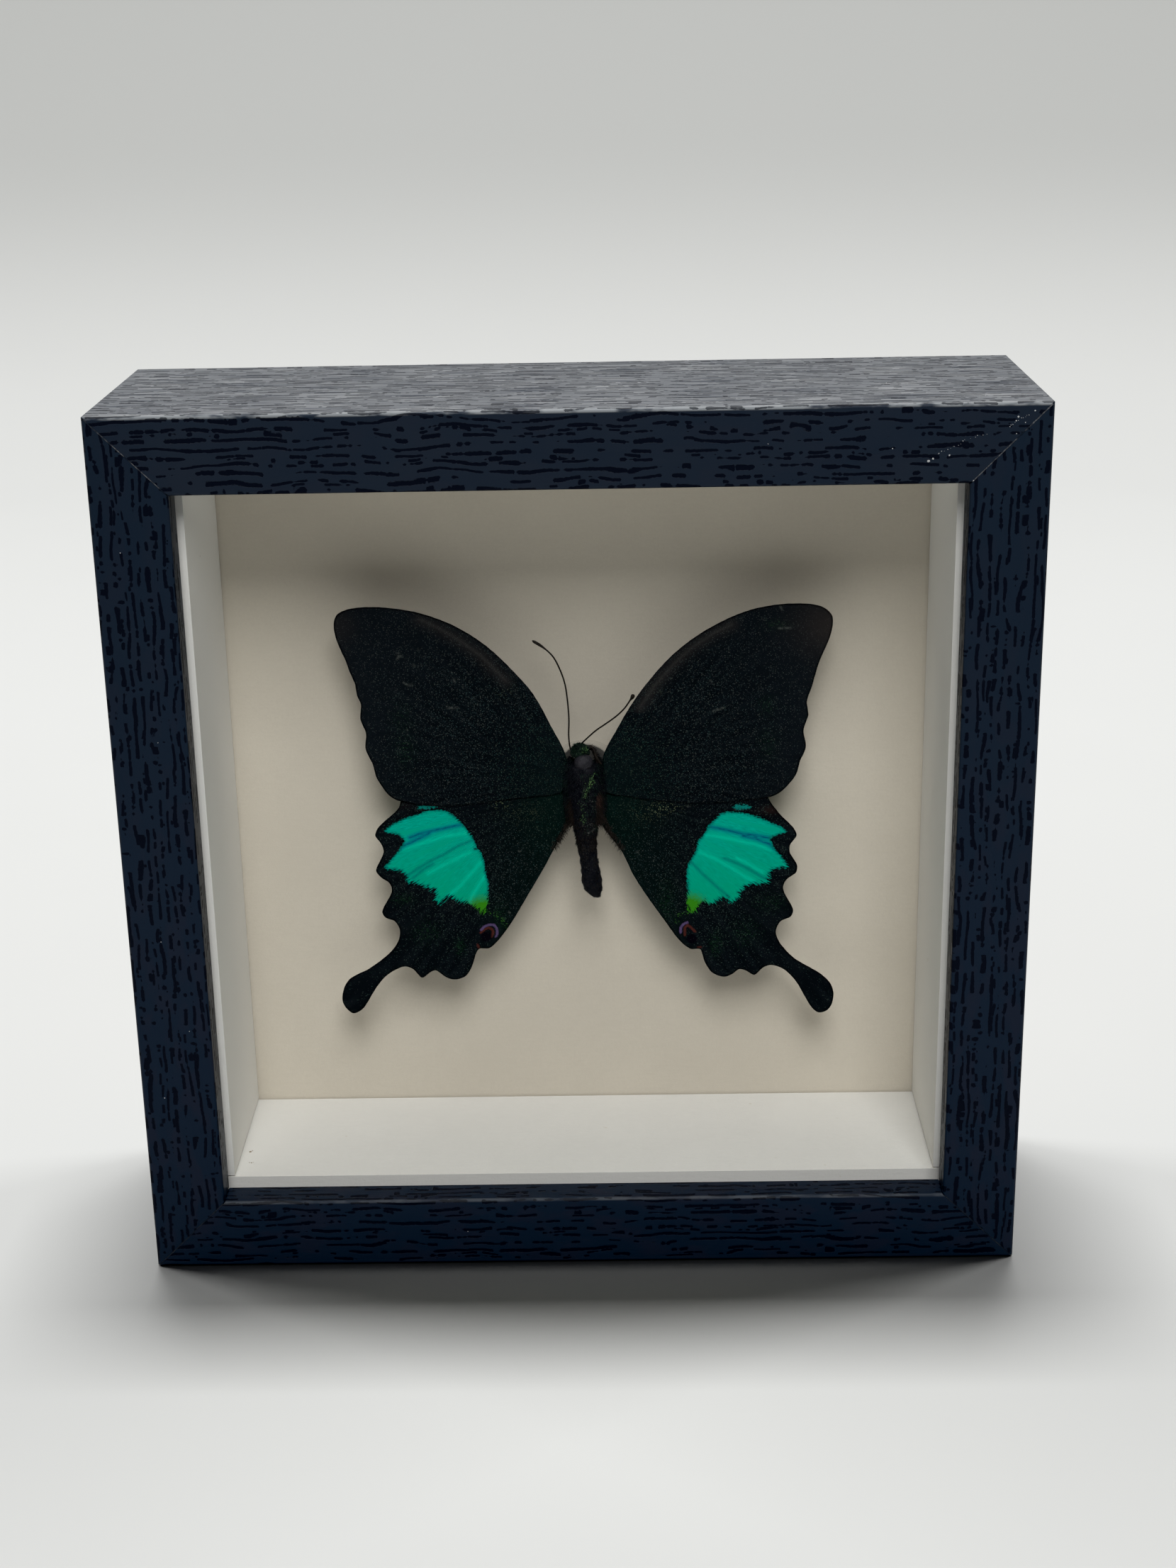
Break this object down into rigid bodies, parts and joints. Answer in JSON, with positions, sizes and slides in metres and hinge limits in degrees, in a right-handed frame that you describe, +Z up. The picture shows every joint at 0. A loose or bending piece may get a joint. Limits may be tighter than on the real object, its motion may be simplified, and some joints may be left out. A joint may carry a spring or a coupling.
{
  "type": "framed butterfly specimen",
  "caption": "Swallowtail butterfly mounted with spread wings in a deep square glazed box frame with a dark foil moulding, to stand or hang.",
  "frame": {"origin": "on the ground under the middle of the box frame", "axes": "+Z up, the glazed front faces -Y, +X to the viewer's right"},
  "size_m": [0.15, 0.046, 0.15],
  "materials": {
    "moulding_foil": "navy-black embossed foil, satin, with dashes along the grain",
    "pane_glass": "clear flat picture glass",
    "cream_board": "matt cream board",
    "spacer_card": "matt off-white board with cut edges",
    "fibreboard": "brown fibreboard, fine fibres",
    "fitting_steel": "bright zinc-plated steel",
    "clear_plastic": "clear moulded plastic",
    "insect_body": "dark brown-black hairs and green-gold scales",
    "forewing_scales": "velvet black scales dusted green-gold",
    "hindwing_scales": "black scales with an emerald-turquoise structural colour patch",
    "antenna_horn": "dark brown horn"
  },
  "bodies": {
    "root": {"rail_bottom": "moulding_foil", "rail_right": "moulding_foil", "rail_top": "moulding_foil", "rail_left": "moulding_foil", "glass_pane": "pane_glass", "mount_board": "cream_board", "spacer_bottom": "spacer_card", "spacer_top": "spacer_card", "spacer_left": "spacer_card", "spacer_right": "spacer_card", "back_board": "fibreboard", "tab_1": "fitting_steel", "tab_2": "fitting_steel", "tab_3": "fitting_steel", "tab_4": "fitting_steel", "tab_5": "fitting_steel", "tab_6": "fitting_steel", "tab_7": "fitting_steel", "tab_8": "fitting_steel", "hanger": "fitting_steel", "hanger_tack_left": "fitting_steel", "hanger_tack_right": "fitting_steel", "mounting_pad": "clear_plastic", "butterfly_body": "insect_body", "forewing_left": "forewing_scales", "forewing_right": "forewing_scales", "hindwing_left": "hindwing_scales", "hindwing_right": "hindwing_scales", "antenna_left": "antenna_horn", "antenna_right": "antenna_horn"}
  },
  "joints": []
}
